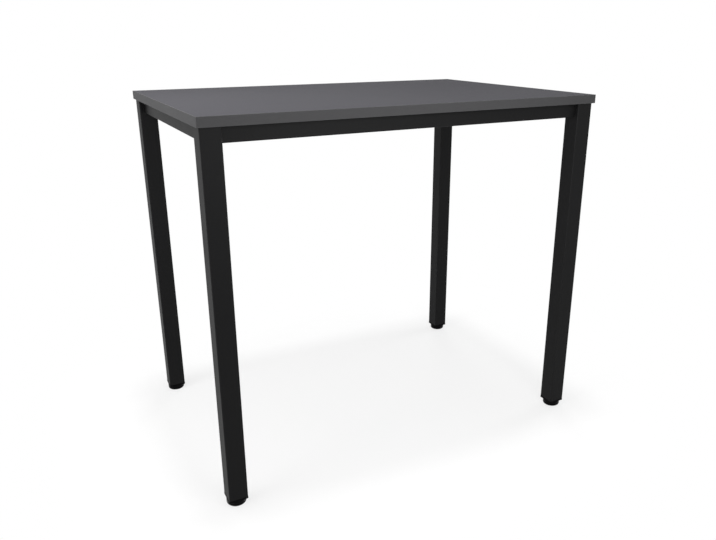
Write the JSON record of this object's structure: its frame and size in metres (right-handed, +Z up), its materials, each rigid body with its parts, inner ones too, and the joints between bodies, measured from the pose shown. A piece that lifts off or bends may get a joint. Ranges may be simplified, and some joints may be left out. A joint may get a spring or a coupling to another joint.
{
  "type": "standing meeting table",
  "caption": "Rectangular standing-height meeting table with a plain board top, square steel tube legs, rails under the board and round levelling feet.",
  "frame": {"origin": "on the floor under the middle of the board", "axes": "+X along the long side of the board to the right, +Y across it to the back, +Z up"},
  "size_m": [1.2, 0.8, 1.055],
  "materials": {
    "laminate_board": "dark grey laminate, matt",
    "edge_band": "dark grey plastic edging, matt",
    "powder_coat": "black powder coat, satin",
    "connector_steel": "bare drawn steel",
    "zinc_steel": "bright zinc plating",
    "black_steel": "black zinc plating",
    "black_plastic": "black moulded plastic, matt",
    "foot_plastic": "black moulded plastic, glossy"
  },
  "bodies": {
    "frame": {"board_screws": "zinc_steel", "edge_band_back": "edge_band", "edge_band_front": "edge_band", "edge_band_left": "edge_band", "edge_band_right": "edge_band", "foot_nut_back_left": "zinc_steel", "foot_nut_back_right": "zinc_steel", "foot_nut_front_left": "zinc_steel", "foot_nut_front_right": "zinc_steel", "leg_back_left": "powder_coat", "leg_back_right": "powder_coat", "leg_front_left": "powder_coat", "leg_front_right": "powder_coat", "leg_plug_back_left": "black_plastic", "leg_plug_back_right": "black_plastic", "leg_plug_front_left": "black_plastic", "leg_plug_front_right": "black_plastic", "leg_top_plate_back_left": "powder_coat", "leg_top_plate_back_right": "powder_coat", "leg_top_plate_front_left": "powder_coat", "leg_top_plate_front_right": "powder_coat", "rail_back": "powder_coat", "rail_back_connector_left": "connector_steel", "rail_back_connector_right": "connector_steel", "rail_back_screws": "black_steel", "rail_front": "powder_coat", "rail_front_connector_left": "connector_steel", "rail_front_connector_right": "connector_steel", "rail_front_screws": "black_steel", "rail_left": "powder_coat", "rail_left_connector_back": "connector_steel", "rail_left_connector_front": "connector_steel", "rail_left_screws": "black_steel", "rail_right": "powder_coat", "rail_right_connector_back": "connector_steel", "rail_right_connector_front": "connector_steel", "rail_right_screws": "black_steel", "tabletop_panel": "laminate_board"},
    "levelling_pad_front_left": {"foot_pad_front_left": "foot_plastic"},
    "levelling_stud_front_left": {"foot_stud_front_left": "zinc_steel"},
    "levelling_pad_front_right": {"foot_pad_front_right": "foot_plastic"},
    "levelling_stud_front_right": {"foot_stud_front_right": "zinc_steel"},
    "levelling_pad_back_right": {"foot_pad_back_right": "foot_plastic"},
    "levelling_stud_back_right": {"foot_stud_back_right": "zinc_steel"},
    "levelling_pad_back_left": {"foot_pad_back_left": "foot_plastic"},
    "levelling_stud_back_left": {"foot_stud_back_left": "zinc_steel"}
  },
  "joints": [
    {"name": "foot_lift_front_left", "type": "slide", "parent": "frame", "child": "levelling_pad_front_left", "axis": [0, 0, -1], "range_m": [0, 0.015]},
    {"name": "foot_turn_front_left", "type": "hinge", "parent": "levelling_pad_front_left", "child": "levelling_stud_front_left", "pos_m": [-0.5675, -0.3675, 0], "axis": [0, 0, -1], "range_deg": [0, 3600]},
    {"name": "foot_lift_front_right", "type": "slide", "parent": "frame", "child": "levelling_pad_front_right", "axis": [0, 0, -1], "range_m": [0, 0.015]},
    {"name": "foot_turn_front_right", "type": "hinge", "parent": "levelling_pad_front_right", "child": "levelling_stud_front_right", "pos_m": [0.5675, -0.3675, 0], "axis": [0, 0, -1], "range_deg": [0, 3600]},
    {"name": "foot_lift_back_right", "type": "slide", "parent": "frame", "child": "levelling_pad_back_right", "axis": [0, 0, -1], "range_m": [0, 0.015]},
    {"name": "foot_turn_back_right", "type": "hinge", "parent": "levelling_pad_back_right", "child": "levelling_stud_back_right", "pos_m": [0.5675, 0.3675, 0], "axis": [0, 0, -1], "range_deg": [0, 3600]},
    {"name": "foot_lift_back_left", "type": "slide", "parent": "frame", "child": "levelling_pad_back_left", "axis": [0, 0, -1], "range_m": [0, 0.015]},
    {"name": "foot_turn_back_left", "type": "hinge", "parent": "levelling_pad_back_left", "child": "levelling_stud_back_left", "pos_m": [-0.5675, 0.3675, 0], "axis": [0, 0, -1], "range_deg": [0, 3600]}
  ],
  "couplings": [
    {"joint": "foot_turn_front_left", "follows": "foot_lift_front_left", "rad_per_m": 4188.7},
    {"joint": "foot_turn_front_right", "follows": "foot_lift_front_right", "rad_per_m": 4188.7},
    {"joint": "foot_turn_back_right", "follows": "foot_lift_back_right", "rad_per_m": 4188.7},
    {"joint": "foot_turn_back_left", "follows": "foot_lift_back_left", "rad_per_m": 4188.7}
  ]
}
